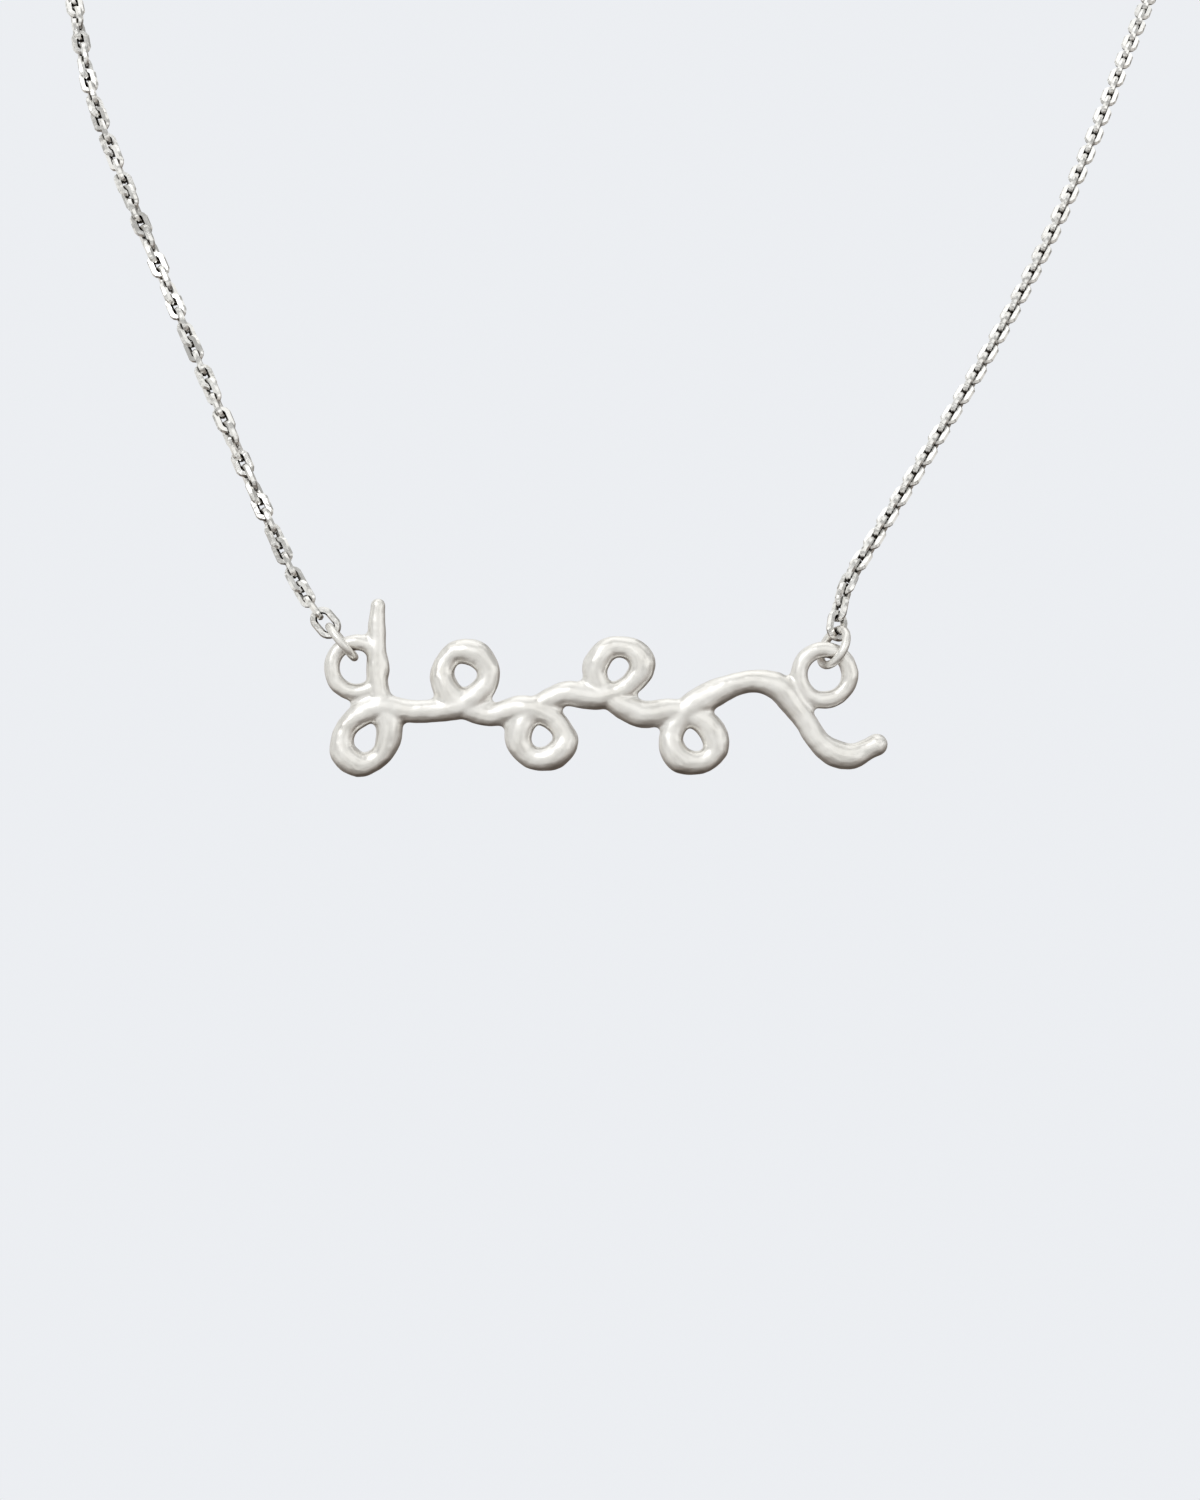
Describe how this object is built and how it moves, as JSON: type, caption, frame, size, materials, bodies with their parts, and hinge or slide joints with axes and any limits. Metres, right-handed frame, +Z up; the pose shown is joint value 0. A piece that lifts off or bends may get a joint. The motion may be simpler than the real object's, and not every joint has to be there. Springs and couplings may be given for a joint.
{
  "type": "pendant necklace",
  "caption": "Fine cable-link chain, worn closed round the neck, carrying a cast pen-stroke pendant between two soldered rings, with jump rings and a ring clasp at the nape.",
  "frame": {"origin": "where the closed clasp rests on the nape of the neck", "axes": "+Z up, front of the wearer and the pendant towards -Y, +X to the right as seen from the front"},
  "size_m": [0.1115, 0.1273, 0.1096],
  "materials": {
    "satin_silver": "satin cast silver, slightly lumpy",
    "bright_silver": "polished silver"
  },
  "bodies": {
    "root": {"pendant": "satin_silver", "left_jump_ring": "satin_silver", "right_jump_ring": "satin_silver", "left_chain": "bright_silver", "right_chain": "bright_silver", "left_chain_back": "bright_silver", "right_chain_back": "bright_silver", "clasp": "bright_silver", "catch_ring": "bright_silver"}
  },
  "joints": []
}
